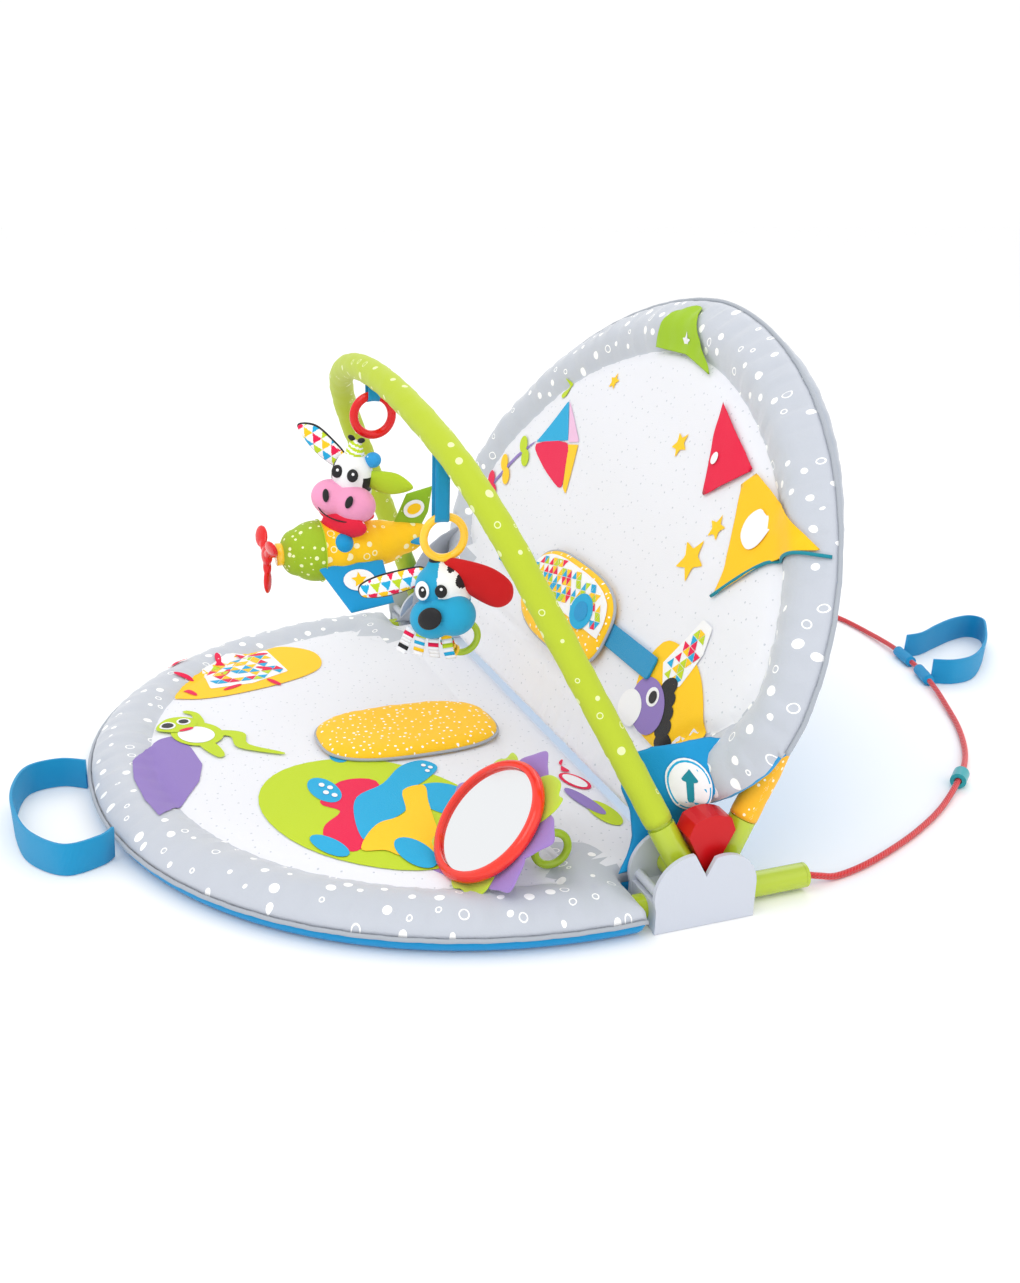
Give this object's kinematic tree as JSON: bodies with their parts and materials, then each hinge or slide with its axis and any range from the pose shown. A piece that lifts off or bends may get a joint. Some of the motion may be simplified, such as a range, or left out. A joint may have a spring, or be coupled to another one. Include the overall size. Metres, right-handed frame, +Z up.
{
  "type": "bouncer seat",
  "caption": "Fold-up baby floor seat and play gym: round padded mat, reclining oval backrest, toy arch on hinged hubs, hanging toys, mirror and pull cord.",
  "frame": {"origin": "on the floor, on the mat's flat underside, midway between the two hubs and under the arch hinge line", "axes": "+Z up, +Y towards the backrest, +X towards the side of the seated baby's left hand"},
  "size_m": [0.7726, 1.188, 0.4565],
  "materials": {
    "lime_tube": "glossy tube",
    "lime_sleeve": "dotted sleeve fabric",
    "hub_plastic": "fine satin moulding",
    "steel": "plain",
    "blue_fabric": "plain weave",
    "mat_fabric": "printed satin",
    "back_fabric": "printed satin",
    "piping": "corded edge",
    "webbing": "flat webbing",
    "cord_braid": "braided cord",
    "stopper": "moulded bead",
    "wedge_red": "moulded",
    "yellow_fabric": "dotted cotton",
    "green_fabric": "satin",
    "red_fabric": "satin",
    "harness_fabric": "printed cotton",
    "red_plastic": "glossy moulding",
    "yellow_plastic": "glossy moulding",
    "calf_plush": "short plush",
    "bandana_fabric": "dotted cotton",
    "plane_fabric": "dotted plush",
    "wing_fabric": "plush panel",
    "tail_fabric": "plush panel",
    "puppy_plush": "short plush",
    "ear_fabric": "corduroy",
    "ribbon_fabric": "printed ribbon",
    "lime_plastic": "glossy moulding",
    "bead_plastic": "glossy moulding",
    "petal_felt": "felt",
    "mirror_plush": "felt",
    "mirror_rim": "glossy moulding",
    "mirror_face": "polished film"
  },
  "bodies": {
    "floor_frame": {"base_tube": "lime_tube", "base_sleeve": "blue_fabric", "floor_mat": "mat_fabric", "mat_underside": "blue_fabric", "mat_piping": "piping", "hub_outer_left": "hub_plastic", "hub_inner_left": "hub_plastic", "hub_outer_right": "hub_plastic", "hub_inner_right": "hub_plastic", "pivot_pins": "steel", "hub_screws": "steel", "stub_caps": "lime_tube", "side_wall_left": "blue_fabric", "side_wall_right": "blue_fabric", "front_handle": "webbing", "crotch_pad": "harness_fabric", "mirror_backing": "mirror_plush", "mirror_petals": "petal_felt", "mirror_rim": "mirror_rim", "mirror_glass": "mirror_face", "cord": "cord_braid", "cord_stopper": "stopper", "rear_handle": "webbing"},
    "backrest": {"back_tube": "lime_tube", "back_foot_left": "lime_tube", "back_foot_right": "lime_tube", "back_sleeve": "blue_fabric", "leg_cover_left": "yellow_fabric", "leg_cover_right": "yellow_fabric", "backrest_pad": "back_fabric", "backrest_piping": "piping", "pennant_green": "green_fabric", "pennant_red": "red_fabric", "pennant_yellow": "yellow_fabric", "waist_panel": "harness_fabric", "waist_strap_left": "webbing", "waist_strap_right": "webbing"},
    "arch": {"arch_tube": "lime_tube", "arch_foot_left": "lime_tube", "arch_foot_right": "lime_tube", "arch_sleeve": "lime_sleeve", "plane_loop": "green_fabric", "puppy_strap": "webbing"},
    "wedge_left": {"lock_wedge_left": "wedge_red"},
    "wedge_right": {"lock_wedge_right": "wedge_red"},
    "plane_toy": {"plane_ring": "red_plastic", "calf_head": "calf_plush", "calf_bandana": "bandana_fabric", "plane_body": "plane_fabric", "plane_wings": "wing_fabric", "plane_tail": "tail_fabric"},
    "propeller": {"propeller": "red_plastic"},
    "puppy_toy": {"puppy_ring": "yellow_plastic", "puppy_head": "puppy_plush", "puppy_ears": "ear_fabric", "puppy_ribbons": "ribbon_fabric", "rattle_arm": "lime_plastic"},
    "rattle_rings": {"rattle_rings": "bead_plastic"},
    "mirror_ring": {"mirror_ring": "lime_plastic"}
  },
  "joints": [
    {"name": "recline", "type": "hinge", "parent": "floor_frame", "child": "backrest", "pos_m": [0, 0.034, 0.0385], "axis": [-1, 0, 0], "range_deg": [0, 66]},
    {"name": "arch_fold", "type": "hinge", "parent": "floor_frame", "child": "arch", "pos_m": [0, 0, 0.0385], "axis": [1, 0, 0], "range_deg": [0, 20]},
    {"name": "wedge_left_lift", "type": "slide", "parent": "floor_frame", "child": "wedge_left", "axis": [0, 0, 1], "range_m": [0, 0.024]},
    {"name": "wedge_right_lift", "type": "slide", "parent": "floor_frame", "child": "wedge_right", "axis": [0, 0, 1], "range_m": [0, 0.024]},
    {"name": "plane_swing", "type": "hinge", "parent": "arch", "child": "plane_toy", "pos_m": [0, -0.16422, 0.37534], "axis": [1, 0, 0], "range_deg": [-12, 12]},
    {"name": "propeller_spin", "type": "hinge", "parent": "plane_toy", "child": "propeller", "pos_m": [0, -0.262, 0.232], "axis": [0, -1, 0], "continuous": true},
    {"name": "puppy_swing", "type": "hinge", "parent": "arch", "child": "puppy_toy", "pos_m": [0.16, -0.14982, 0.305], "axis": [1, 0, 0], "range_deg": [-15, 15]},
    {"name": "rattle_rings_slide", "type": "hinge", "parent": "puppy_toy", "child": "rattle_rings", "pos_m": [0.16, -0.13182, 0.1954], "axis": [1, 0, 0], "range_deg": [-20, 20]},
    {"name": "mirror_ring_lift", "type": "hinge", "parent": "floor_frame", "child": "mirror_ring", "pos_m": [0.287, -0.096, 0.034], "axis": [0, 1, 0], "range_deg": [-60, 60]}
  ]
}
